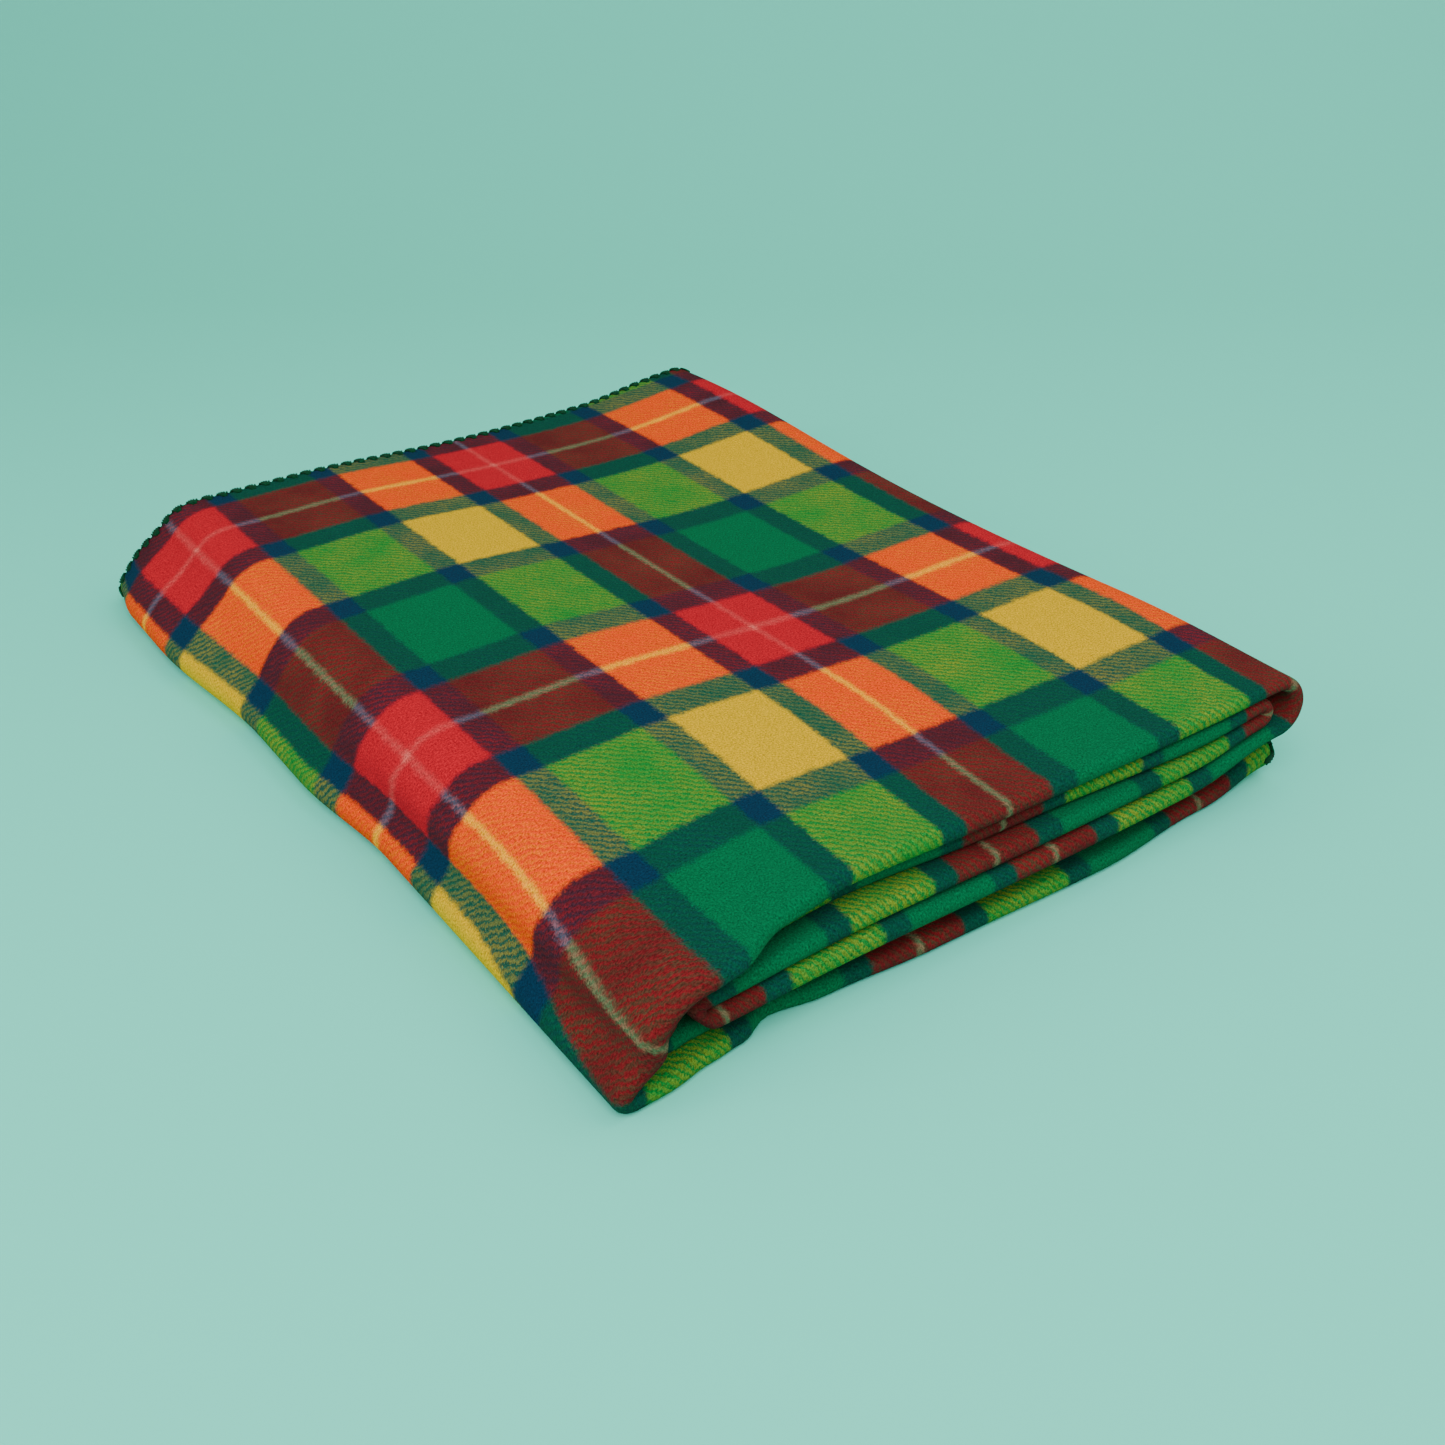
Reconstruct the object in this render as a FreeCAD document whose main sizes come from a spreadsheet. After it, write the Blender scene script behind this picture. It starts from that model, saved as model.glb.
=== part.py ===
import FreeCAD, Part
import math
import os
import Sketcher

# Folded camp blanket: one woven cloth with an overlocked edge, folded twice across its width into
# a packet of four plies, and then six panels long: in half, and in thirds.
# Frame: millimetres, +Z up, +Y from the fold noses at the front to the stitched edges at the back,
# +X from the closed left side, the spine, to the open right side.
# The origin is under the middle of the box.
#
# At the spine three folds lie inside one another, each a step to the right of the one outside it,
# so the cloth that covers them slopes up from the floor to the top:
#   outer fold   bottom_panel to top_panel, over the outer slope
#   inner fold   fifth_panel to second_panel, over the inner slope
#   curl         fourth_panel to third_panel
# The cover, the four upper panels, turns over to the left about the spine, which lies down flat.

V = FreeCAD.Vector
ALONG_Y = V(0, 1, 0)

DRIVING_SIZES = {
    "folded_width": 322.0,
    "folded_depth": 414.0,
    "ply_thickness": 1.725,
    "plies_per_panel": 4.0,
    "panel_gap": 0.5,
    "spine_slope": 47.0,
    "seam_gap": 0.3,
    "inner_roll_inset": 9.0,
    "raw_end_inset": 16.5,
    "fifth_end_inset": 35.0,
    "thread_reach": 3.0,
    "thread_thickness": 1.6,
}

doc = FreeCAD.newDocument("camp_blanket")
sheet = doc.addObject("Spreadsheet::Sheet", "Sizes")
for row, (alias, value) in enumerate(DRIVING_SIZES.items(), start=1):
    sheet.set(f"A{row}", alias)
    sheet.set(f"B{row}", str(value))
    sheet.setAlias(f"B{row}", alias)
doc.recompute()


def size(formula):
    """The value of a formula over the sheet's aliases, in millimetres or degrees."""
    return float(sheet.evalExpression(formula))


def on_sheet(formula):
    """The same formula with every alias spelled as a reference to the sheet."""
    for alias in DRIVING_SIZES:
        formula = formula.replace(alias, f"Sizes.{alias}")
    return formula


# The panels lie one pitch apart, counted up from the floor.
THICKNESS = "(ply_thickness * plies_per_panel)"
PITCH = f"({THICKNESS} + panel_gap)"
PANELS_UPWARD = ("bottom_panel", "fifth_panel", "fourth_panel", "third_panel", "second_panel", "top_panel")
PANEL_FLOOR = {label: f"({level} * {PITCH})" for level, label in enumerate(PANELS_UPWARD)}

# Bend radii, measured to the outside of the packet of plies.
FOLD_RADIUS = f"({THICKNESS} + panel_gap / 2)"
ROLL_RADIUS = f"({FOLD_RADIUS} + {PITCH})"
BEND_RADIUS = f"({FOLD_RADIUS} + 2 * {PITCH})"
INNER_BEND_RADIUS = f"({FOLD_RADIUS} + {PITCH})"

# Bend centres. The step brings the folds of the spine to touch the slope that covers them.
STEP = f"({PITCH} / tan(spine_slope / 2))"
OUTER_FOLD_X = f"(-folded_width / 2 + {FOLD_RADIUS})"
INNER_FOLD_X = f"({OUTER_FOLD_X} + {STEP})"
CURL_X = f"({OUTER_FOLD_X} + 2 * {STEP})"
OUTER_FOLD_Z = FOLD_RADIUS
INNER_FOLD_Z = f"({FOLD_RADIUS} + {PITCH})"
CURL_Z = BEND_RADIUS
ROLL_X = f"(folded_width / 2 - {ROLL_RADIUS})"
INNER_ROLL_X = f"({ROLL_X} - inner_roll_inset)"
ROLL_Z = f"({CURL_Z} + {PITCH})"
RAW_END = "(folded_width / 2 - raw_end_inset)"
FIFTH_END = "(folded_width / 2 - fifth_end_inset)"
FOLD_TURN = "(180 - spine_slope)"

FRONT = "(-folded_depth / 2)"
BACK = "(folded_depth / 2 - thread_reach)"

subparts = []


def bind(target, property_name, formula):
    """Bind one property to a formula over the sheet."""
    target.setExpression(property_name, on_sheet(formula))


def new_body(label, base_x, base_z, tilt="0"):
    """A PartDesign body placed by the sheet, and tilted up at its right end."""
    body = doc.addObject("PartDesign::Body", label)
    body.Label = label
    body.Placement.Rotation = FreeCAD.Rotation(-ALONG_Y, 1)
    bind(body, "Placement.Base.x", base_x)
    bind(body, "Placement.Base.z", base_z)
    bind(body, "Placement.Rotation.Angle", tilt)
    subparts.append(body)
    return body


def packet_section(body, lower_face):
    """Section of a four-ply packet in the YZ plane: square at the back, a round nose in front."""
    sketch = body.newObject("Sketcher::SketchObject", f"{body.Name}_section")
    plane = next(f for f in body.Origin.OriginFeatures if f.Role == "YZ_Plane")
    sketch.AttachmentSupport = [(plane, "")]
    sketch.MapMode = "FlatFace"
    back = size(BACK)
    low = size(lower_face)
    high = low + size(THICKNESS)
    nose = (high - low) / 2
    turn = size(FRONT) + nose
    circle = Part.Circle(V(turn, low + nose, 0), V(0, 0, 1), nose)
    under = sketch.addGeometry(Part.LineSegment(V(turn, low, 0), V(back, low, 0)))
    end = sketch.addGeometry(Part.LineSegment(V(back, low, 0), V(back, high, 0)))
    over = sketch.addGeometry(Part.LineSegment(V(back, high, 0), V(turn, high, 0)))
    arc = sketch.addGeometry(Part.ArcOfCircle(circle, math.pi / 2, 3 * math.pi / 2))
    add = sketch.addConstraint
    add(Sketcher.Constraint("Coincident", under, 2, end, 1))
    add(Sketcher.Constraint("Coincident", end, 2, over, 1))
    add(Sketcher.Constraint("Tangent", over, 2, arc, 1))
    add(Sketcher.Constraint("Tangent", arc, 2, under, 1))
    add(Sketcher.Constraint("Horizontal", under))
    add(Sketcher.Constraint("Vertical", end))
    bound = {
        add(Sketcher.Constraint("DistanceX", -1, 1, under, 2, back)): BACK,
        add(Sketcher.Constraint("DistanceY", end, 1, end, 2, high - low)): THICKNESS,
        add(Sketcher.Constraint("DistanceX", arc, 3, -1, 1, -turn)): f"(-{FRONT} - {THICKNESS} / 2)",
    }
    if low == 0:
        add(Sketcher.Constraint("PointOnObject", under, 2, -1))
    else:
        bound[add(Sketcher.Constraint("DistanceY", -1, 1, under, 2, low))] = lower_face
    for index, formula in bound.items():
        bind(sketch, f"Constraints[{index}]", formula)
    return sketch


def pad_section(body, sketch, length):
    """Pad a packet section along X."""
    pad = body.newObject("PartDesign::Pad", f"{body.Name}_pad")
    pad.Profile = sketch
    bind(pad, "Length", length)
    sketch.Visibility = False


def add_panel(label, left, right):
    """One flat panel: the packet section padded from its left bend to its right one."""
    body = new_body(label, left, PANEL_FLOOR[label])
    pad_section(body, packet_section(body, "0"), f"{right} - {left}")


def add_slope(label, fold_x, fold_z, length):
    """One sloping stretch of the spine, between a fold and the bend above it, clear of both."""
    shift = "seam_gap"
    start_x = f"{fold_x} + {shift} * cos(spine_slope)"
    start_z = f"{fold_z} + {shift} * sin(spine_slope)"
    body = new_body(label, start_x, start_z, "spine_slope")
    pad_section(body, packet_section(body, "panel_gap / 2"), f"{length} - 2 * {shift}")


def add_bend(label, centre_x, centre_z, outer_radius, angle, side, tilt="0"):
    """One bend: the packet section turned about an axis along Y, from the tilted upright."""
    body = new_body(label, centre_x, centre_z, tilt)
    sketch = packet_section(body, f"({outer_radius} - {THICKNESS})")
    turn = body.newObject("PartDesign::Revolution", f"{label}_turn")
    turn.Profile = sketch
    turn.ReferenceAxis = (sketch, ["H_Axis"])
    bind(turn, "Angle", angle)
    turn.Reversed = side == "left"
    sketch.Visibility = False


# The six panels of the folded cloth, from the top down.
add_panel("top_panel", CURL_X, ROLL_X)
add_panel("second_panel", CURL_X, INNER_ROLL_X)
add_panel("third_panel", CURL_X, INNER_ROLL_X)
add_panel("fourth_panel", CURL_X, ROLL_X)
add_panel("fifth_panel", INNER_FOLD_X, FIFTH_END)
add_panel("bottom_panel", OUTER_FOLD_X, RAW_END)

# The spine: its folds on the base, its slopes, and the bends and the curl at their upper end.
add_bend("outer_fold", OUTER_FOLD_X, OUTER_FOLD_Z, FOLD_RADIUS, FOLD_TURN, "left", "spine_slope")
add_bend("inner_fold", INNER_FOLD_X, INNER_FOLD_Z, FOLD_RADIUS, FOLD_TURN, "left", "spine_slope")
add_slope("outer_slope", OUTER_FOLD_X, OUTER_FOLD_Z, f"2 * {STEP}")
add_slope("inner_slope", INNER_FOLD_X, INNER_FOLD_Z, STEP)
add_bend("outer_bend", CURL_X, CURL_Z, BEND_RADIUS, "spine_slope", "left")
add_bend("inner_bend", CURL_X, CURL_Z, INNER_BEND_RADIUS, "spine_slope", "left")
add_bend("left_curl", CURL_X, CURL_Z, FOLD_RADIUS, "180", "left")

# The rolls at the open side.
add_bend("right_outer_roll", ROLL_X, ROLL_Z, ROLL_RADIUS, "180", "right")
add_bend("right_inner_roll", INNER_ROLL_X, ROLL_Z, FOLD_RADIUS, "180", "right")

# The overlock thread on the two raw ends, past the right end of the two lowest panels.
for label, panel, end in (
    ("end_thread_upper", "fifth_panel", FIFTH_END),
    ("end_thread_lower", "bottom_panel", RAW_END),
):
    cap = new_body(label, end, PANEL_FLOOR[panel])
    pad_section(cap, packet_section(cap, "0"), "thread_reach")


def thread_bar(left, right, floor):
    """A straight run of edge thread along a panel's back end."""
    length = size(right) - size(left)
    corner = V(size(left), size(BACK), floor)
    return Part.makeBox(length, size("thread_reach"), size("thread_thickness"), corner)


def thread_slope(fold_x, fold_z, length, inner_face):
    """A run of edge thread along a slope, inner_face away from the line between bend centres."""
    gap = size("seam_gap")
    corner = V(gap, 0, inner_face)
    run = Part.makeBox(size(length) - 2 * gap, size("thread_reach"), size("thread_thickness"), corner)
    run.rotate(V(0, 0, 0), -ALONG_Y, size("spine_slope"))
    run.translate(V(size(fold_x), size(BACK), size(fold_z)))
    return run


def thread_bend(centre_x, centre_z, outer_radius, first, last):
    """A run of edge thread round a bend, between two directions in degrees from +X towards +Z."""
    reach = size("thread_reach")
    inner_radius = outer_radius - size("thread_thickness")
    axis = V(0, 0, 1)
    ring = Part.makeCylinder(outer_radius, reach, V(0, 0, 0), axis, last - first)
    ring = ring.cut(Part.makeCylinder(inner_radius, reach, V(0, 0, 0), axis)).Solids[0]
    ring.rotate(V(0, 0, 0), axis, first)
    ring.rotate(V(0, 0, 0), V(1, 0, 0), 90)
    ring.translate(V(size(centre_x), size(BACK) + reach, size(centre_z)))
    return ring


def thread_floor(panel, face, step):
    """Height of a thread run's underside, on a panel's upper or lower face, step plies in."""
    inset = step * size("ply_thickness")
    if face == "upper":
        return size(f"{PANEL_FLOOR[panel]} + {THICKNESS}") - inset - size("thread_thickness")
    return size(PANEL_FLOOR[panel]) + inset


def add_thread(label, runs):
    """One continuous run of edge thread, joined from its bars and bends."""
    joined = runs[0]
    if len(runs) > 1:
        joined = joined.multiFuse(runs[1:]).removeSplitter()
    if len(joined.Solids) != 1:
        raise RuntimeError(f"{label} is in {len(joined.Solids)} pieces")
    thread = doc.addObject("Part::Feature", label)
    thread.Label = label
    thread.Shape = joined.Solids[0]
    subparts.append(thread)


# The overlock thread of the two long edges, which lie one ply apart at the back of every panel.
# On the outer fold, the slope and the outer roll it follows the outside of the packet, and on the
# inner fold and the inner roll the inside, because every second panel lies face down.
SLOPE_NORMAL = 90 + size("spine_slope")
for letter, step in (("a", 0), ("b", 1)):
    inset = step * size("ply_thickness")
    inner_side = size("panel_gap / 2") + inset
    inner_outer = inner_side + size("thread_thickness")
    outer_side = size(FOLD_RADIUS) - inset
    outer_face = outer_side - size("thread_thickness")
    inner_bend_outer = size(INNER_BEND_RADIUS) - size(FOLD_RADIUS) + inner_outer
    add_thread(f"edge_thread_{letter}_cover", [
        thread_bend(CURL_X, CURL_Z, size(BEND_RADIUS) - inset, 90, SLOPE_NORMAL),
        thread_bar(CURL_X, ROLL_X, thread_floor("top_panel", "upper", step)),
        thread_bend(ROLL_X, ROLL_Z, size(ROLL_RADIUS) - inset, -90, 90),
        thread_bar(CURL_X, ROLL_X, thread_floor("fourth_panel", "lower", step)),
        thread_bend(CURL_X, CURL_Z, outer_side, 90, 270),
        thread_bar(CURL_X, INNER_ROLL_X, thread_floor("third_panel", "upper", step)),
        thread_bend(INNER_ROLL_X, ROLL_Z, inner_outer, -90, 90),
        thread_bar(CURL_X, INNER_ROLL_X, thread_floor("second_panel", "lower", step)),
        thread_bend(CURL_X, CURL_Z, inner_bend_outer, 90, SLOPE_NORMAL),
    ])
    add_thread(f"edge_thread_{letter}_outer_slope", [
        thread_slope(OUTER_FOLD_X, OUTER_FOLD_Z, f"2 * {STEP}", outer_face),
    ])
    add_thread(f"edge_thread_{letter}_inner_slope", [
        thread_slope(INNER_FOLD_X, INNER_FOLD_Z, STEP, inner_side),
    ])
    add_thread(f"edge_thread_{letter}_base_outer", [
        thread_bend(OUTER_FOLD_X, OUTER_FOLD_Z, outer_side, SLOPE_NORMAL, 270),
        thread_bar(OUTER_FOLD_X, RAW_END, thread_floor("bottom_panel", "lower", step)),
    ])
    add_thread(f"edge_thread_{letter}_base_inner", [
        thread_bend(INNER_FOLD_X, INNER_FOLD_Z, inner_outer, SLOPE_NORMAL, 270),
        thread_bar(INNER_FOLD_X, FIFTH_END, thread_floor("fifth_panel", "upper", step)),
    ])

doc.recompute()
for item in doc.Objects:
    if "Invalid" in item.State or "Error" in item.State:
        raise RuntimeError(f"{item.Label} did not recompute: {item.State}")
for item in subparts:
    if item.Shape.isNull() or not item.Shape.isValid() or len(item.Shape.Solids) != 1:
        raise RuntimeError(f"{item.Label} is not one valid solid")

os.makedirs("parts", exist_ok=True)
for item in subparts:
    item.Shape.exportStep(f"parts/{item.Label}.step")
print(f"{len(subparts)} sub-parts")
print(f"fold centres x {size(OUTER_FOLD_X):.3f} {size(INNER_FOLD_X):.3f} {size(CURL_X):.3f}, "
      f"z {size(OUTER_FOLD_Z):.3f} {size(INNER_FOLD_Z):.3f} {size(CURL_Z):.3f}, "
      f"slope {size('spine_slope')}, bend radius {size(BEND_RADIUS):.3f}")
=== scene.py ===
import math

import bpy
import numpy as np
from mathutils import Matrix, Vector


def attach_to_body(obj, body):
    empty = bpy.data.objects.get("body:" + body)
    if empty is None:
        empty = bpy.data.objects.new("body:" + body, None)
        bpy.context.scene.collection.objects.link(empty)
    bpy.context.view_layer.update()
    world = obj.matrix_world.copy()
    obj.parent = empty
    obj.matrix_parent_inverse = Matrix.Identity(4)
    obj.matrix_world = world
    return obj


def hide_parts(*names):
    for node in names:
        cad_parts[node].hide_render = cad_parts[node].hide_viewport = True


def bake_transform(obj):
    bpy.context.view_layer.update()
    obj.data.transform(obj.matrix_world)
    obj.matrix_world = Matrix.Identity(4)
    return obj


# Folded tartan camp blanket. The cloth is one sheet, followed along its fold path in the XZ plane,
# and at every point of that path folded into a packet of four plies, whose nose is at the front.
# Sizes are in millimetres until a mesh is made, apart from the sheet's flat size, the lights and the
# camera, which are in metres. The tartan is drawn in cloth coordinates, one unit a repeat of the
# check, so it runs on over every fold.

MM = 0.001

# Cloth
PLY_PITCH = 1.725
HALF_CLOTH = 0.8
PACKET_HALF = 2 * PLY_PITCH
REPEAT_X = 148.0
REPEAT_Y = 212.0
PATTERN_ORIGIN_Y = -194.0

# Packet, front to back
FRONT_Y = -207.0
RAW_EDGE_Y = 204.0
SECOND_EDGE_AHEAD = 1.5
BACK_FOLD_Y = 200.0

# Stack: heights of the six panels' middles, and where the lower panels' raw ends are
HALF_WIDTH = 161.0
PANEL_GAP = 0.5
PANEL_PITCH = 2 * PACKET_HALF + PANEL_GAP
HEIGHT = [PACKET_HALF + PANEL_PITCH * step for step in range(6)]
STACK_HEIGHT = HEIGHT[-1] + PACKET_HALF
RAW_END_X = HALF_WIDTH - 14.5
FIFTH_END_X = HALF_WIDTH - 35.0

# Fold path: radii and centres of the bends. Each fold is a step to the right of the one that
# covers it, in hundredths of a millimetre, so that it touches the slope.
SLOPE = 47.0
SLOPE_OUT = 90.0 + SLOPE
STEP = round(PANEL_PITCH / math.tan(math.radians(SLOPE / 2)), 2)
INNER_ROLL_INSET = 9.0
FOLD_R = PANEL_PITCH / 2
INNER_R = FOLD_R + PANEL_PITCH
OUTER_R = INNER_R + PANEL_PITCH
OUTER_FOLD = (FOLD_R + PACKET_HALF - HALF_WIDTH, FOLD_R + PACKET_HALF)
INNER_FOLD = (OUTER_FOLD[0] + STEP, OUTER_FOLD[1] + PANEL_PITCH)
CURL = (INNER_FOLD[0] + STEP, INNER_FOLD[1] + PANEL_PITCH)
ROLL = (HALF_WIDTH - INNER_R - PACKET_HALF, CURL[1] + PANEL_PITCH)
INNER_ROLL = (ROLL[0] - INNER_ROLL_INSET, ROLL[1])
OUTER_JOIN_AT = 18.0
INNER_JOIN_AT = 9.0

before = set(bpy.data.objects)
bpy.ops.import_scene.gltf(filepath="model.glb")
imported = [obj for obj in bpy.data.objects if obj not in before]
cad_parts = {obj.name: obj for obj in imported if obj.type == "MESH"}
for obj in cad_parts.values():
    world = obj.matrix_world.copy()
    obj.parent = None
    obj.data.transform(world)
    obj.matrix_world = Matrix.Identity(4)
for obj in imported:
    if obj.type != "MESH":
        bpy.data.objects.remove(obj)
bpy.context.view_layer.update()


# ---------------------------------------------------------------- fold path

def smooth(low, high, value):
    """Smoothstep from 0 at low to 1 at high."""
    t = np.clip((value - low) / (high - low), 0.0, 1.0)
    return t * t * (3.0 - 2.0 * t)


def on_circle(centre, radius, degrees):
    """Point at an angle from +X towards +Z."""
    a = math.radians(degrees)
    return centre[0] + radius * math.cos(a), centre[1] + radius * math.sin(a)


def straight(start, end, count):
    """Points and face-side normals of a straight stretch of the path."""
    f = np.linspace(0.0, 1.0, count + 1)[:, None]
    points = np.array(start) * (1.0 - f) + np.array(end) * f
    step = np.array(end) - np.array(start)
    step = step / np.linalg.norm(step)
    return points, np.tile((-step[1], step[0]), (count + 1, 1))


def bend(centre, radius, first, last, count):
    """Points and face-side normals of a bend, its angles in degrees from +X towards +Z."""
    a = np.radians(np.linspace(first, last, count + 1))
    outward = np.stack([np.cos(a), np.sin(a)], axis=1)
    side = 1.0 if last < first else -1.0
    return np.array(centre) + radius * outward, side * outward


OUTER_SLOPE_END = on_circle(CURL, OUTER_R, SLOPE_OUT)
INNER_SLOPE_END = on_circle(CURL, INNER_R, SLOPE_OUT)
OUTER_SLOPE_START = on_circle(OUTER_FOLD, FOLD_R, SLOPE_OUT)
INNER_SLOPE_START = on_circle(INNER_FOLD, FOLD_R, SLOPE_OUT)
SLOPE_RUN = np.array([math.cos(math.radians(SLOPE)), math.sin(math.radians(SLOPE))])
OUTER_JOIN = tuple(np.array(OUTER_SLOPE_START) + OUTER_JOIN_AT * SLOPE_RUN)
INNER_JOIN = tuple(np.array(INNER_SLOPE_START) + INNER_JOIN_AT * SLOPE_RUN)


def level(x, panel):
    """A point on the middle of a panel, 1 the top panel and 6 the bottom one."""
    return x, HEIGHT[6 - panel]


# Each stretch: the visual piece it belongs to, its points, and what holds at its far end: the cloth
# coordinate along the path in repeats, how far that runs ahead at the nose in repeats, and how far
# the nose and the back edge stand behind their places. START is what holds at the raw end.
START = (-2.30, 0.0, 7.5, -1.0)
STRETCHES = [
    ("bottom", straight(level(RAW_END_X, 6), level(105, 6), 9), -2.0, 0.0, 5.3, -1.0),
    ("bottom", straight(level(105, 6), level(50, 6), 8), -1.59, 0.0, 0.5, 0.0),
    ("bottom", straight(level(50, 6), level(-26, 6), 10), -1.05, 0.0, 2.0, 0.0),
    ("bottom", straight(level(-26, 6), level(-70, 6), 8), -0.76, 0.01, 4.5, 1.0),
    ("bottom", straight(level(-70, 6), level(-90, 6), 5), -0.64, 0.03, 7.5, 1.0),
    ("bottom", straight(level(-90, 6), level(-104, 6), 4), -0.55, 0.04, 2.2, 1.0),
    ("bottom", straight(level(-104, 6), level(-122, 6), 5), -0.45, 0.06, 0.7, 1.0),
    ("bottom", straight(level(-122, 6), level(-146, 6), 6), -0.34, 0.11, -2.6, 1.0),
    ("outer_fold", straight(level(-146, 6), level(OUTER_FOLD[0], 6), 2), -0.30, 0.12, -3.0, 1.0),
    ("outer_fold", bend(OUTER_FOLD, FOLD_R, 270, SLOPE_OUT, 14), -0.215, 0.11, -4.0, 0.0),
    ("outer_fold", straight(OUTER_SLOPE_START, OUTER_JOIN, 7), -0.095, 0.08, -6.0, -2.0),
    ("outer_bend", straight(OUTER_JOIN, OUTER_SLOPE_END, 6), 0.0, 0.05, -7.0, -4.0),
    ("outer_bend", bend(CURL, OUTER_R, SLOPE_OUT, 90, 10), 0.11, 0.01, -7.0, -6.0),
    ("outer_bend", straight(level(CURL[0], 1), level(-112, 1), 3), 0.162, 0.0, -6.0, -6.0),
    ("cover", straight(level(-112, 1), level(-88, 1), 7), 0.324, 0.01, 2.5, -6.0),
    ("cover", straight(level(-88, 1), level(-60, 1), 8), 0.514, 0.03, 5.0, -6.0),
    ("cover", straight(level(-60, 1), level(0, 1), 14), 0.919, 0.055, 5.0, -4.0),
    ("cover", straight(level(0, 1), level(90, 1), 20), 1.527, 0.04, 5.0, 1.0),
    ("cover", straight(level(90, 1), level(135, 1), 12), 1.831, 0.027, 4.0, 4.0),
    ("cover", straight(level(135, 1), level(ROLL[0], 1), 4), 1.895, 0.06, 4.0, 5.0),
    ("cover", bend(ROLL, INNER_R, 90, -90, 20), 2.15, 0.02, 1.0, 4.0),
    ("cover", straight(level(ROLL[0], 4), level(22.4, 4), 18), 3.0, 0.0, -1.0, 2.0),
    ("cover", straight(level(22.4, 4), level(CURL[0], 4), 18), 4.03, 0.0, -1.0, 2.0),
    ("cover", bend(CURL, FOLD_R, 270, 90, 12), 4.11, 0.0, 1.0, 1.0),
    ("cover", straight(level(CURL[0], 3), level(-2.8, 3), 16), 5.0, 0.0, 2.0, 0.0),
    ("cover", straight(level(-2.8, 3), level(INNER_ROLL[0], 3), 18), 5.95, 0.0, 3.0, 2.0),
    ("cover", bend(INNER_ROLL, FOLD_R, -90, 90, 12), 6.05, 0.0, 4.0, 2.0),
    ("cover", straight(level(INNER_ROLL[0], 2), level(4.6, 2), 18), 7.0, 0.0, 8.0, 1.0),
    ("cover", straight(level(4.6, 2), level(-60, 2), 9), 7.50, 0.0, 10.0, -1.0),
    ("cover", straight(level(-60, 2), level(-112, 2), 7), 7.86, 0.0, 8.0, -3.0),
    ("inner_bend", straight(level(-112, 2), level(CURL[0], 2), 2), 7.90, 0.0, 4.0, -3.0),
    ("inner_bend", bend(CURL, INNER_R, 90, SLOPE_OUT, 8), 7.99, 0.0, 3.0, -3.0),
    ("inner_bend", straight(INNER_SLOPE_END, INNER_JOIN, 4), 8.05, 0.0, 3.0, -2.0),
    ("inner_fold", straight(INNER_JOIN, INNER_SLOPE_START, 4), 8.1, 0.0, 4.0, -1.0),
    ("inner_fold", bend(INNER_FOLD, FOLD_R, SLOPE_OUT, 270, 14), 8.2, 0.0, 5.0, 0.0),
    ("inner_fold", straight(level(INNER_FOLD[0], 5), level(-128, 5), 3), 8.26, 0.0, 6.0, 0.0),
    ("fifth", straight(level(-128, 5), level(-60, 5), 12), 8.72, 0.0, 12.0, 1.0),
    ("fifth", straight(level(-60, 5), level(FIFTH_END_X, 5), 24), 9.96, 0.0, 10.0, 1.0),
]


def lay_path():
    """The rows of each piece along the path: x, z, nx, nz and the four values of its stretches."""
    rows = {}
    before = START
    for name, (points, normals), *after in STRETCHES:
        f = np.linspace(0.0, 1.0, len(points))
        ease = f * f * (3.0 - 2.0 * f)
        along = before[0] + (after[0] - before[0]) * f
        offsets = [before[i] + (after[i] - before[i]) * ease for i in (1, 2, 3)]
        block = np.column_stack([points, normals, along, *offsets])
        held = rows.get(name)
        rows[name] = block if held is None else np.vstack([held, block[1:]])
        before = after
    return rows


# ---------------------------------------------------------------- section of the packet

def lay_section(hidden_count):
    """Section of the packet from one long edge to the other: y, height w towards the face side.
    The two inner plies have hidden_count points between their ends."""
    outer = 1.5 * PLY_PITCH
    inner = 0.5 * PLY_PITCH
    turn_y = FRONT_Y + PACKET_HALF
    near = np.array([0.0, 5.0, 12.0, 30.0])
    far = (BACK_FOLD_Y - near)[::-1]
    hidden = np.concatenate([turn_y + near, np.linspace(-150, 150, hidden_count), far])
    face = np.linspace(RAW_EDGE_Y, turn_y, 90)
    back = np.linspace(turn_y, BACK_FOLD_Y, 40)
    nose = np.radians(np.linspace(90, 270, 11))[1:-1]
    back_turn = np.radians(np.linspace(-90, 90, 7))[1:-1]
    inner_nose = np.radians(np.linspace(90, 270, 7))[1:-1]
    run = [(y, outer) for y in face]
    run += [(turn_y + outer * math.cos(a), outer * math.sin(a)) for a in nose]
    run += [(y, -outer) for y in back]
    run += [(BACK_FOLD_Y + inner * math.cos(a), -PLY_PITCH + inner * math.sin(a)) for a in back_turn]
    run += [(y, -inner) for y in hidden[::-1]]
    run += [(turn_y + inner * math.cos(a), -inner * math.sin(a)) for a in inner_nose]
    run += [(y, inner) for y in hidden]
    run += [(RAW_EDGE_Y + SECOND_EDGE_AHEAD, inner)]
    return np.array(run)


def section_normals(run):
    """Unit normals of the section, on the cloth's face side."""
    step = np.gradient(run, axis=0)
    step = step / np.linalg.norm(step, axis=1)[:, None]
    return np.stack([step[:, 1], -step[:, 0]], axis=1)


# ---------------------------------------------------------------- how the cloth has settled

def bump(x, y, at_x, at_y, wide_x, wide_y):
    """A smooth mound of height 1."""
    return np.exp(-((x - at_x) / wide_x) ** 2 - ((y - at_y) / wide_y) ** 2)


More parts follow.
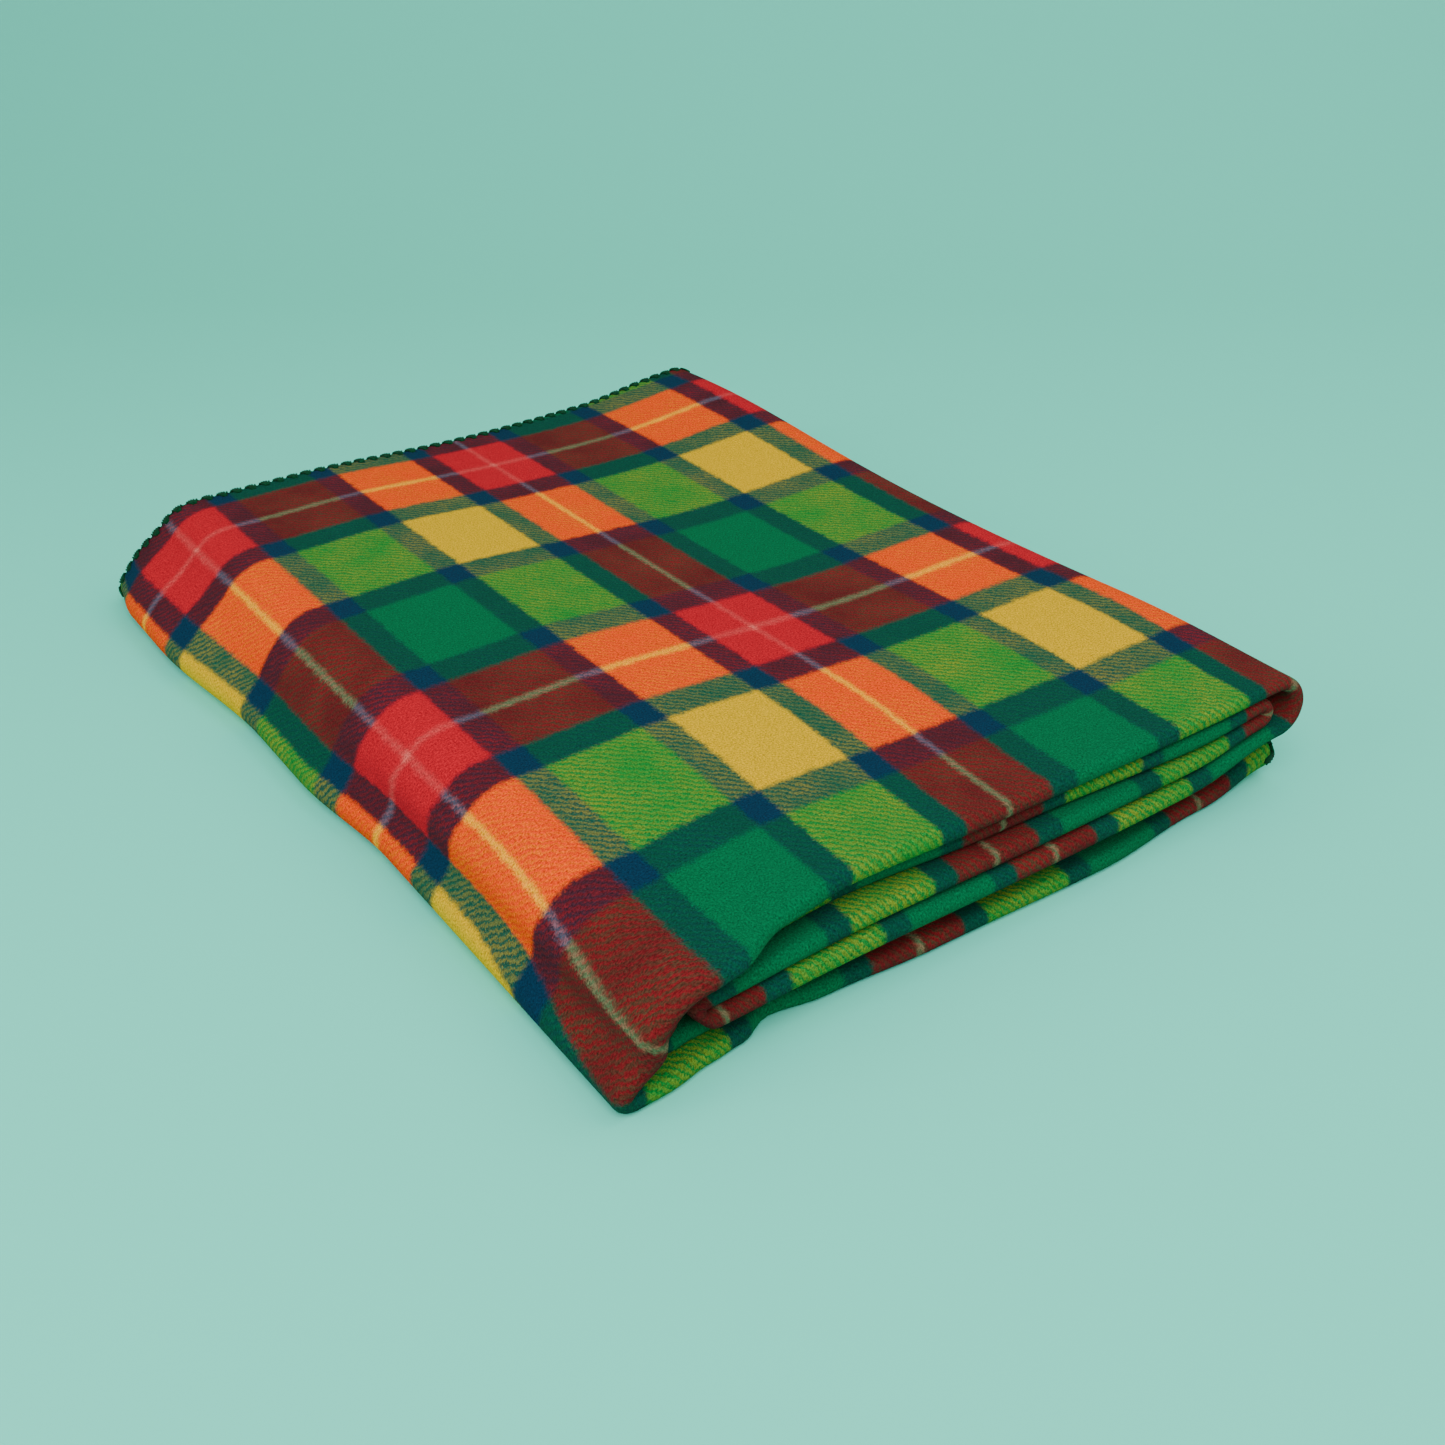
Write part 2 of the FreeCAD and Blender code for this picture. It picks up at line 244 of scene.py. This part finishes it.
# Rises and dips of the stack's top: height, x and y of the middle, and width along x and y
MOUNDS = [
    (2.3, -58, 0, 38, 400),
    (-2.9, 60, 10, 45, 95),
    (-4.5, -122, -185, 34, 55),
    (2.0, 140, -165, 35, 60),
    (9.5, 160, 190, 55, 110),
]
ROLL_PINCH = 0.24
RAW_END_FLARE = 0.6
RAW_END_RISE = 3.5


def foot_shift(y, z):
    """How far the low left edge stands to the right of its place, from its back end to its front."""
    shift = 4.0 * smooth(180, 207, y) - 3.5 + 8.0 * smooth(140, 45, y) + 5.5 * smooth(5, -60, y)
    low = 1.0 - smooth(16, 32, z)
    return shift * low - 2.5 * smooth(110, 205, y) * bump(z, y, 22, 205, 9, 90)


def settle(p, name):
    """Move points of the regular stack to where the soft cloth has settled: the roll is pinched
    flatter, the raw end opens upwards, the sides shift and the top rises and dips."""
    x, y, z = (p[..., i].copy() for i in range(3))
    if name == "cover":
        z = STACK_HEIGHT - (STACK_HEIGHT - z) * (1.0 - ROLL_PINCH * smooth(92, 146, x))
    if name == "bottom":
        rise = RAW_END_RISE * smooth(108, 147, x) * smooth(60, -120, y)
        z = z * (1.0 + RAW_END_FLARE * smooth(116, 145, x)) + rise
    x = x + smooth(-95, -140, x) * foot_shift(y, z)
    if name == "cover":
        x = x + smooth(95, 145, x) * (5.0 * smooth(-50, 160, y) - 6.0 * smooth(-110, -205, y))
    lift = sum(height * bump(x, y, *mound) for height, *mound in MOUNDS)
    z = z + lift * (np.clip(z, 0.0, None) / STACK_HEIGHT) ** 1.2
    return np.stack([x, y, z], axis=-1)


# ---------------------------------------------------------------- meshes

def make_object(name, vertices, faces, material, uv=None, smooth_angle=50.0):
    """A mesh object from millimetre vertices and faces, its UV map in cloth repeats."""
    mesh = bpy.data.meshes.new(name)
    faces = faces.tolist() if isinstance(faces, np.ndarray) else faces
    mesh.from_pydata((np.asarray(vertices) * MM).tolist(), [], faces)
    if uv is not None:
        corner = np.zeros(len(mesh.loops), np.int32)
        mesh.loops.foreach_get("vertex_index", corner)
        layer = mesh.uv_layers.new(name="cloth")
        layer.data.foreach_set("uv", np.asarray(uv)[corner].astype(np.float32).ravel())
    mesh.shade_smooth()
    mesh.set_sharp_from_angle(angle=math.radians(smooth_angle))
    mesh.update()
    obj = bpy.data.objects.new(name, mesh)
    bpy.context.scene.collection.objects.link(obj)
    mesh.materials.append(material)
    return obj


def lay_cloth(name, rows, section):
    """Middle, face and reverse surfaces of one piece of the cloth, and its cloth coordinates. The
    nose and the back edge ease into their offsets, and so does the pattern's lead at the nose."""
    x, z, nx, nz, along, ahead, nose, back = (rows[:, i][:, None] for i in range(8))
    y, w = (section[:, i][None, :] for i in range(2))
    normal = section_normals(section)
    ny, nw = (normal[:, i][None, :] for i in range(2))
    shifted = y + nose * (1.0 - smooth(-207, 0, y)) + back * smooth(60, 204, y)
    middle = np.stack([x + w * nx, shifted + 0 * x, z + w * nz], axis=-1)
    across = np.stack([nw * nx, ny + 0 * x, nw * nz], axis=-1)
    step = np.hypot(np.diff(shifted, axis=1), np.diff(w, axis=1))
    run = np.concatenate([np.zeros((len(rows), 1)), np.cumsum(step, axis=1)], axis=1)
    start = (shifted[:, :1] - PATTERN_ORIGIN_Y) / REPEAT_Y
    uv = np.stack([along + ahead * (1.0 - smooth(-207, -110, y)), start - run / REPEAT_Y], axis=-1)
    surfaces = [settle(middle + side * HALF_CLOTH * across, name) for side in (0.0, 1.0, -1.0)]
    return surfaces, uv


def close_grid(rows, columns):
    """Quads of a face grid, a reverse grid and the rims between them."""
    index = np.arange(rows * columns).reshape(rows, columns)
    other = index + rows * columns

    def quads(a, b, c, d):
        return np.stack([a.ravel(), b.ravel(), c.ravel(), d.ravel()], axis=1)

    def sheet_quads(i):
        return quads(i[:-1, :-1], i[:-1, 1:], i[1:, 1:], i[1:, :-1])

    def rim(a, b):
        return quads(a[:-1], b[:-1], b[1:], a[1:])

    return np.vstack([
        sheet_quads(index),
        sheet_quads(other)[:, ::-1],
        rim(index[:, 0], other[:, 0])[:, ::-1],
        rim(index[:, -1], other[:, -1]),
        rim(index[0], other[0]),
        rim(index[-1], other[-1])[:, ::-1],
    ])


def make_cloth(name, rows, section, material):
    """One piece of the cloth as a closed mesh. Returns it with its middle, for the edge thread."""
    (middle, face, reverse), uv = lay_cloth(name, rows, section)
    vertices = np.vstack([face.reshape(-1, 3), reverse.reshape(-1, 3)])
    coordinates = np.vstack([uv.reshape(-1, 2)] * 2)
    faces = close_grid(*middle.shape[:2])
    return make_object(f"cloth_{name}", vertices, faces, material, coordinates), middle


# ---------------------------------------------------------------- edge thread

SHELL_PITCH = 6.9
SHELL_REACH = 3.5
SHELL_FAN = (-2, -1, 0, 1, 2)
FAN_SPREAD = 1.25
FAN_ANGLE = 0.42
WOBBLE = 0.12
THREAD_R = 0.5
CHAIN_R = 1.15 * THREAD_R
THREAD_SIDES = 5
LOWEST_Z = 0.05

# Half a thread of a shell, from inside the cloth towards its tip: share of its spread along the
# edge, distance out of the edge plus a share of the reach, and distance off the cloth
HALF_LOOP = [
    (0.25, -2.6, 0.0, 0.75),
    (0.3, -2.3, 0.0, 1.15),
    (0.6, -0.4, 0.0, 1.3),
    (0.9, 0.0, 0.75, 0.95),
]

# The chain at one shell: share of the pitch along the edge, distance out of it and off the cloth
CHAIN = [(-0.5, 0.9, 0.0), (-0.3, 2.3, 0.1), (0.0, 3.6, 0.0), (0.3, 2.3, -0.1)]


def unit(v):
    """Vectors at length 1."""
    return v / np.maximum(np.linalg.norm(v, axis=-1, keepdims=True), 1e-9)


def tube(points, radius):
    """Vertices and faces of a thread along points, closed at both ends."""
    points = np.asarray(points, float)
    tangent = unit(np.gradient(points, axis=0))
    guide = np.array([0.31, 0.17, 0.94])
    first = unit(np.cross(tangent, guide))
    second = np.cross(tangent, first)
    a = np.linspace(0, 2 * math.pi, THREAD_SIDES, endpoint=False)
    ring = np.cos(a)[None, :, None] * first[:, None] + np.sin(a)[None, :, None] * second[:, None]
    vertices = (points[:, None] + radius * ring).reshape(-1, 3)
    ends = np.stack([points[0] - 0.3 * radius * tangent[0], points[-1] + 0.3 * radius * tangent[-1]])
    corners = [(j, (j + 1) % THREAD_SIDES) for j in range(THREAD_SIDES)]
    faces = []
    for i in range(len(points) - 1):
        low, high = i * THREAD_SIDES, (i + 1) * THREAD_SIDES
        faces += [(low + j, low + k, high + k, high + j) for j, k in corners]
    last = (len(points) - 1) * THREAD_SIDES
    tip = len(vertices)
    for j, k in corners:
        faces.append((tip, k, j))
        faces.append((tip + 1, last + j, last + k))
    return np.vstack([vertices, ends]), faces


def join(parts):
    """Vertices and faces of several parts as one."""
    faces = []
    total = 0
    for vertices, part_faces in parts:
        faces += [tuple(total + i for i in face) for face in part_faces]
        total += len(vertices)
    return np.vstack([vertices for vertices, _ in parts]), faces


def follow(edge, out, spacing):
    """Evenly spaced frames along an edge: points and unit vectors along, out of and off the cloth."""
    length = np.concatenate([[0.0], np.cumsum(np.linalg.norm(np.diff(edge, axis=0), axis=1))])
    count = max(int(round(length[-1] / spacing)), 1)
    at = (np.arange(count) + 0.5) * length[-1] / count

    def sample(values):
        return np.stack([np.interp(at, length, values[:, i]) for i in range(3)], axis=1)

    along = unit(sample(np.gradient(edge, axis=0)))
    outward = unit(sample(out))
    return sample(edge), along, outward, unit(np.cross(along, outward)), length[-1] / count


def shell_thread(edge, out, flatten=1.0):
    """The overlock along one edge: a fan of threads over the edge at every stitch, and the chain
    that ties their tips together."""
    points, along, outward, off, pitch = follow(edge, out, SHELL_PITCH)
    threads = []
    chain = []
    wobble = np.random.default_rng(len(points)).normal(0.0, WOBBLE, (len(points), 3))
    for p, e, o, n, w in zip(points, along, outward, off, wobble):
        def at(i, j, k):
            return p + i * e + (j + w[0]) * o + k * flatten * n

        for k in SHELL_FAN:
            spread = FAN_SPREAD * k + w[1]
            reach = SHELL_REACH * math.cos(FAN_ANGLE * k) + w[2]
            half = [(a * spread, base + share * reach, lift) for a, base, share, lift in HALF_LOOP]
            over = [at(i, j, lift) for i, j, lift in half]
            under = [at(i, j, -lift) for i, j, lift in reversed(half)]
            threads.append(tube([*over, at(spread, reach, 0.0), *under], THREAD_R))
        chain += [at(share * pitch, base, lift) for share, base, lift in CHAIN]
    chain.append(points[-1] + 0.5 * pitch * along[-1] + CHAIN[0][1] * outward[-1])
    vertices, faces = join([*threads, tube(chain, CHAIN_R)])
    vertices[:, 2] = np.maximum(vertices[:, 2], LOWEST_Z)
    return vertices, faces


def make_thread(name, runs, material):
    """One object of several runs of thread."""
    return make_object(name, *join(runs), material, smooth_angle=80.0)


# ---------------------------------------------------------------- materials

# Scene-linear colours where two yarns cross: white, red, navy, green and yellow
YARNS = "WRNGY"
TARTAN = {
    "WW": (0.66, 0.12, 0.10), "WR": (0.52, 0.032, 0.038), "WN": (0.066, 0.068, 0.105),
    "WG": (0.090, 0.125, 0.060), "WY": (0.95, 0.36, 0.0),
    "RR": (0.46, 0.008, 0.018), "RN": (0.050, 0.010, 0.016), "RG": (0.090, 0.008, 0.010),
    "RY": (0.82, 0.050, 0.0), "NN": (0.004, 0.026, 0.056), "NG": (0.0, 0.052, 0.032),
    "NY": (0.0, 0.074, 0.042), "GG": (0.0, 0.112, 0.040), "GY": (0.0, 0.180, 0.024),
    "YY": (0.63, 0.350, 0.0),
}

# The check, as shares of a repeat: half widths of the navy band and the white line, and soft edges
NAVY_HALF = 0.038
LINE_HALF = 0.0078
SOFT = 0.006
THIRD = 1.0 / 3.0

# The weave, in millimetres: how far the bands wander and how far fibres cross their borders, and
# how much of x + y there is from one twill line to the next
BAND_WANDER = 2.6
FIBRE_REACH = 4.2
TWILL_STEP = 3.39

# Noises in the cloth, their scale in features a millimetre
WANDER = {"scale": 0.22, "detail": 2.0}
NAP = {"scale": 1.1, "detail": 4.0, "roughness": 0.65}
GRAIN = {"scale": 1.5, "detail": 3.0, "roughness": 0.75}
WORN = {"scale": 0.045, "detail": 2.0}

# Added to the cloth coordinates, so that they are never below zero
WHOLE_REPEATS = 10.0


def linear(colour):
    """Scene-linear RGBA of an sRGB colour."""
    return tuple(c / 12.92 if c <= 0.04045 else ((c + 0.055) / 1.055) ** 2.4 for c in colour) + (1.0,)


def pair(a, b):
    """Scene-linear RGBA where two yarns cross."""
    return (TARTAN[a + b] if a + b in TARTAN else TARTAN[b + a]) + (1.0,)


def grey(value):
    """RGBA of a plain number, for a ramp."""
    return (value, value, value, 1.0)


class Nodes:
    """A material's node tree, with short names for the nodes it is made from."""

    def __init__(self, name):
        self.material = bpy.data.materials.new(name)
        self.material.use_nodes = True
        self.tree = self.material.node_tree
        self.shader = next(n for n in self.tree.nodes if n.type == "BSDF_PRINCIPLED")

    def add(self, kind, *inputs, **settings):
        node = self.tree.nodes.new(kind)
        for key, value in settings.items():
            setattr(node, key, value)
        for socket, value in zip(node.inputs, inputs):
            self.put(socket, value)
        return node

    def put(self, socket, value):
        if isinstance(value, bpy.types.NodeSocket):
            self.tree.links.new(value, socket)
        elif value is not None:
            socket.default_value = value

    def math(self, operation, *inputs):
        return self.add("ShaderNodeMath", *inputs, operation=operation).outputs[0]

    def noise(self, vector, scale, detail=2.0, roughness=0.5):
        node = self.add("ShaderNodeTexNoise")
        self.put(node.inputs["Vector"], vector)
        self.put(node.inputs["Scale"], scale)
        self.put(node.inputs["Detail"], detail)
        self.put(node.inputs["Roughness"], roughness)
        return node.outputs[0]

    def ramp(self, factor, stops):
        node = self.add("ShaderNodeValToRGB", factor)
        elements = node.color_ramp.elements
        while len(elements) > 1:
            elements.remove(elements[-1])
        for i, (position, colour) in enumerate(stops):
            element = elements[0] if i == 0 else elements.new(position)
            element.position = position
            element.color = colour
        return node.outputs[0]

    def mix(self, factor, a, b, blend_type="MIX"):
        node = self.add("ShaderNodeMix", data_type="RGBA", blend_type=blend_type)
        self.put(node.inputs["Factor"], factor)
        self.put(node.inputs["A"], a)
        self.put(node.inputs["B"], b)
        return node.outputs["Result"]

    def finish(self, colour, height=None, strength=0.3, distance=0.001, **values):
        self.put(self.shader.inputs["Base Color"], colour)
        for key, value in values.items():
            self.put(self.shader.inputs[key.replace("_", " ")], value)
        if height is not None:
            node = self.add("ShaderNodeBump")
            self.put(node.inputs["Strength"], strength)
            self.put(node.inputs["Distance"], distance)
            self.put(node.inputs["Height"], height)
            self.put(self.shader.inputs["Normal"], node.outputs[0])
        return self.material


def sett_stops(colour_of):
    """Ramp stops of one repeat of the check, from the white line on: red, green, yellow, red."""
    edges = [(LINE_HALF, "W", "R")]
    for middle, before, after in ((0.5, "R", "G"), (1.5, "G", "Y"), (2.5, "Y", "R")):
        edges.append((middle * THIRD - NAVY_HALF, before, "N"))
        edges.append((middle * THIRD + NAVY_HALF, "N", after))
    edges.append((1.0 - LINE_HALF, "R", "W"))
    stops = [(0.0, colour_of("W"))]
    for at, before, after in edges:
        stops.append((at - SOFT, colour_of(before)))
        stops.append((at + SOFT, colour_of(after)))
    return stops


def cloth_material():
    """Brushed twill: warp and weft bands of the check, mixed where they cross, under a soft nap."""
    n = Nodes("brushed tartan twill")
    uv = n.add("ShaderNodeUVMap", uv_map="cloth").outputs[0]
    split = n.add("ShaderNodeSeparateXYZ", uv)
    x = n.math("MULTIPLY", split.outputs[0], REPEAT_X)
    y = n.math("MULTIPLY", split.outputs[1], REPEAT_Y)
    place = n.add("ShaderNodeCombineXYZ", x, y, 0.0).outputs[0]
    other_place = n.add("ShaderNodeCombineXYZ", y, x, 7.0).outputs[0]
    wander = n.math("SUBTRACT", n.noise(place, **WANDER), 0.5)
    nap = n.noise(place, **NAP)
    nap_away = n.math("SUBTRACT", nap, 0.5)
    nap_other = n.math("SUBTRACT", n.noise(other_place, **NAP), 0.5)

    def phase(coordinate, fibres, repeat, offset):
        """Where a point is in the repeat, its borders wandering a little and frayed by fibres."""
        moved = n.math("MULTIPLY_ADD", wander, BAND_WANDER, coordinate)
        moved = n.math("MULTIPLY_ADD", fibres, FIBRE_REACH, moved)
        return n.math("FRACT", n.math("ADD", n.math("DIVIDE", moved, repeat), offset))

    # Each crossing has its own colour: the band of warp colours on one weft yarn, where that yarn is
    warp = phase(x, nap_away, REPEAT_X, WHOLE_REPEATS)
    weft = phase(y, nap_other, REPEAT_Y, WHOLE_REPEATS + THIRD)
    crossed = (0.0, 0.0, 0.0, 1.0)
    for yarn in YARNS:
        band = n.ramp(warp, sett_stops(lambda other: pair(other, yarn)))
        shown = n.ramp(weft, sett_stops(lambda other: grey(float(other == yarn))))
        crossed = n.mix(1.0, crossed, n.mix(1.0, band, shown, "MULTIPLY"), "ADD")
    warp_pure = n.ramp(warp, sett_stops(lambda yarn: pair(yarn, yarn)))
    weft_pure = n.ramp(weft, sett_stops(lambda yarn: pair(yarn, yarn)))

    # Twill lines of the single yarns, plainer in some patches than in others
    diagonal = n.math("DIVIDE", n.math("ADD", x, y), TWILL_STEP)
    diagonal = n.math("MULTIPLY_ADD", wander, 1.6, diagonal)
    diagonal = n.math("MULTIPLY_ADD", nap_away, 1.8, diagonal)
    twill = n.math("MULTIPLY_ADD", n.math("SINE", n.math("MULTIPLY", diagonal, 2 * math.pi)), 0.5, 0.5)
    patch = n.ramp(n.noise(place, **WORN), [(0.3, grey(0.07)), (0.7, grey(0.28))])
    yarns = n.mix(twill, warp_pure, weft_pure)
    colour = n.mix(patch, crossed, yarns)
    # Light and dark fibres of the nap, and their relief
    grain = n.math("SUBTRACT", n.noise(place, **GRAIN), 0.5)
    shade = n.math("MULTIPLY_ADD", nap_away, 0.8, 1.0)
    shade = n.math("MULTIPLY_ADD", grain, 3.0, shade)
    shade = n.math("MULTIPLY_ADD", wander, 0.2, shade)
    shades = n.add("ShaderNodeCombineXYZ", shade, shade, shade).outputs[0]
    colour = n.mix(1.0, colour, shades, "MULTIPLY")
    height = n.math("MULTIPLY_ADD", twill, 0.12, nap)
    height = n.math("MULTIPLY_ADD", grain, 0.5, height)
    return n.finish(colour, height, strength=0.6, distance=0.0009, Roughness=0.95,
                    Specular_IOR_Level=0.02, Sheen_Weight=0.01, Sheen_Roughness=0.6)


def thread_material():
    """Spun dark green overlock yarn."""
    n = Nodes("dark green yarn")
    place = n.add("ShaderNodeTexCoord").outputs["Object"]
    fleck = n.noise(place, scale=900.0, detail=3.0)
    tone = n.ramp(fleck, [(0.3, linear((0.0, 0.12, 0.06))), (0.7, linear((0.01, 0.27, 0.15)))])
    return n.finish(tone, fleck, strength=0.4, distance=0.0004, Roughness=0.85, Specular_IOR_Level=0.08,
                    Sheen_Weight=0.02, Sheen_Roughness=0.5)


# ---------------------------------------------------------------- build the blanket

# The body that each piece rides on; the pieces left out stay fixed where they are made
BODY = {"bottom": "base_third", "fifth": "base_third", "cover": "cover"}

# The CAD nodes that each piece stands for
CLOTH_NODES = {
    "bottom": ["bottom_panel"],
    "fifth": ["fifth_panel"],
    "outer_fold": ["outer_fold"],
    "inner_fold": ["inner_fold"],
    "outer_bend": ["outer_slope", "outer_bend"],
    "inner_bend": ["inner_slope", "inner_bend"],
    "cover": ["top_panel", "second_panel", "third_panel", "fourth_panel", "left_curl",
              "right_outer_roll", "right_inner_roll"],
}
THREAD_NODES = {
    "bottom": ["edge_thread_a_base_outer", "edge_thread_b_base_outer"],
    "fifth": ["edge_thread_a_base_inner", "edge_thread_b_base_inner"],
    "outer_fold": [],
    "inner_fold": [],
    "outer_bend": ["edge_thread_a_outer_slope", "edge_thread_b_outer_slope"],
    "inner_bend": ["edge_thread_a_inner_slope", "edge_thread_b_inner_slope"],
    "cover": ["edge_thread_a_cover", "edge_thread_b_cover"],
}

# The short edges: the CAD node, and the rows of the cloth at the edge and next to it
END_THREAD = {"bottom": ("end_thread_lower", 0, 1), "fifth": ("end_thread_upper", -1, -2)}
END_FLATTEN = 0.7


def attach(obj, name, nodes):
    """Hang a visual piece on its body, or else leave it fixed where it is, in place of its CAD nodes.
    """
    if name in BODY:
        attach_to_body(obj, BODY[name])
    else:
        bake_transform(obj)
    if nodes:
        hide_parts(*nodes)


wool = cloth_material()
yarn = thread_material()
fine_section = lay_section(hidden_count=60)
broad_section = lay_section(hidden_count=13)
paths = lay_path()
cloth = {}
thread = {}
for name, rows in paths.items():
    section = broad_section if name == "cover" else fine_section
    cloth[name], middle = make_cloth(name, rows, section, wool)
    runs = []
    for column, inside in ((0, 1), (-1, -2)):
        edge = middle[:, column]
        runs.append(shell_thread(edge, edge - middle[:, inside]))
    thread[name] = make_thread(f"edge_thread_{name}", runs, yarn)
    attach(cloth[name], name, CLOTH_NODES[name])
    attach(thread[name], name, THREAD_NODES[name])
    if name in END_THREAD:
        node, row, inside = END_THREAD[name]
        run = shell_thread(middle[row], middle[row] - middle[inside], END_FLATTEN)
        attach(make_thread(f"end_thread_{name}", [run], yarn), name, [node])


# ---------------------------------------------------------------- stage

def backdrop_material():
    """Plain pale teal paper."""
    n = Nodes("pale teal paper")
    return n.finish((0.12, 0.72, 0.55, 1.0), Roughness=0.9, Specular_IOR_Level=0.1)


def make_backdrop():
    """A floor that sweeps up into a wall behind the object, square to the camera's heading."""
    heading = math.radians(35.5)
    ahead = np.array([math.sin(heading), math.cos(heading), 0.0])
    aside = np.array([math.cos(heading), -math.sin(heading), 0.0])
    floor_from, wall_at, wall_top, sweep, half_width = -2500.0, 1500.0, 2600.0, 900.0, 3500.0
    profile = [(floor_from, 0.0), (wall_at - sweep, 0.0)]
    for degrees in range(6, 91, 6):
        a = math.radians(degrees)
        profile.append((wall_at - sweep + sweep * math.sin(a), sweep * (1.0 - math.cos(a))))
    profile.append((wall_at, wall_top))
    vertices = []
    for side in (-half_width, half_width):
        for out, up in profile:
            vertices.append(ahead * out + aside * side + np.array([0.0, 0.0, up]))
    count = len(profile)
    faces = [(i, i + 1, count + i + 1, count + i) for i in range(count - 1)]
    return make_object("floor", vertices, faces, backdrop_material())


def area_light(name, place, size, power):
    """A round soft light, turned to the object."""
    data = bpy.data.lights.new(name, "AREA")
    data.shape = "DISK"
    data.size = size
    data.energy = power
    obj = bpy.data.objects.new(name, data)
    obj.location = place
    obj.rotation_euler = (-Vector(place)).to_track_quat("-Z", "Y").to_euler()
    bpy.context.scene.collection.objects.link(obj)
    return obj


floor = make_backdrop()
key = area_light("key", (-0.6, -0.9, 1.2), 1.2, 23.0)
fill = area_light("fill", (0.9, -0.3, 1.4), 1.4, 12.0)
side = area_light("side", (-1.3, 0.1, 0.6), 0.8, 6.0)

world = bpy.data.worlds.new("studio")
world.use_nodes = True
background = world.node_tree.nodes["Background"]
background.inputs["Color"].default_value = (0.92, 1.0, 0.99, 1.0)
background.inputs["Strength"].default_value = 0.55
bpy.context.scene.world = world

camera_data = bpy.data.cameras.new("camera")
camera_data.sensor_width = 36.0
camera_data.lens = 38.34
camera = bpy.data.objects.new("camera", camera_data)
camera.location = (-0.309, -0.482, 0.3145)
look = Vector((0.501, 0.702, -0.506))
camera.rotation_euler = look.to_track_quat("-Z", "Y").to_euler()
bpy.context.scene.collection.objects.link(camera)
bpy.context.scene.camera = camera
